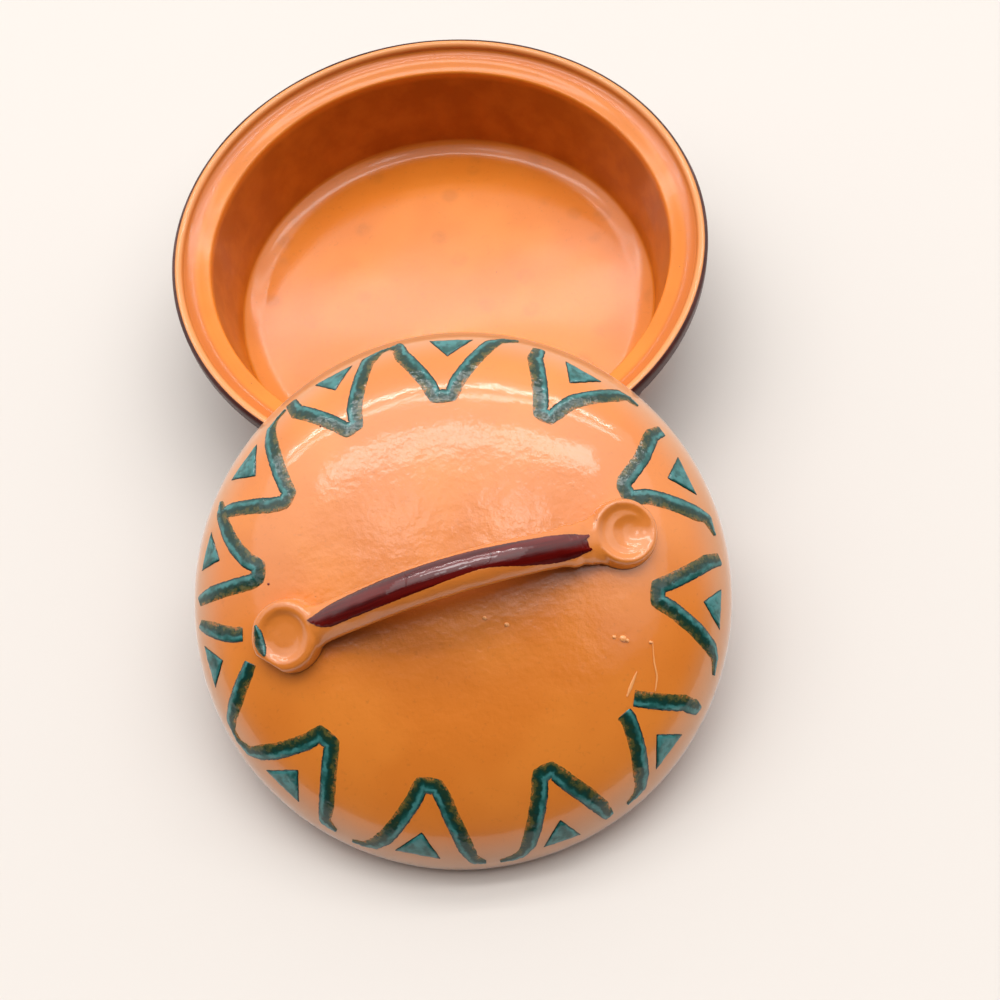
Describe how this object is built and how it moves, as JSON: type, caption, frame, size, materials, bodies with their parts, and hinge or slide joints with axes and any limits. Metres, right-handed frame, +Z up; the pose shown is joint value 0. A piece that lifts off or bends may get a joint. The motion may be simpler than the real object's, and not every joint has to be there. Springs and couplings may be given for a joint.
{
  "type": "lidded dish",
  "caption": "Round terracotta dish with a stepped rim, and its domed strap-handled lid, glazed with a zigzag border, leaning on the dish's lip.",
  "frame": {"origin": "centre of the dish's flat foot, on the surface that it stands on", "axes": "+Z up along the dish's axis, -Y towards the lid that leans on the lip, +X to the right as seen from the lid's side"},
  "size_m": [0.2368, 0.3862, 0.1014],
  "materials": {
    "terracotta": "clear-glazed orange terracotta, gloss",
    "dark_glaze": "dark maroon brushed glaze, gloss",
    "green_glaze": "raised blue-green brushed glaze, gloss"
  },
  "bodies": {
    "dish": {"bowl": "terracotta", "outer_glaze": "dark_glaze"},
    "cover": {"lid": "terracotta", "zigzag_glaze": "green_glaze", "triangle_glaze": "green_glaze", "handle": "terracotta", "handle_glaze": "dark_glaze"}
  },
  "joints": [
    {"name": "lid_lift", "type": "slide", "parent": "dish", "child": "cover", "axis": [0, 0.866, 0.5], "range_m": [0, 0.19]}
  ]
}
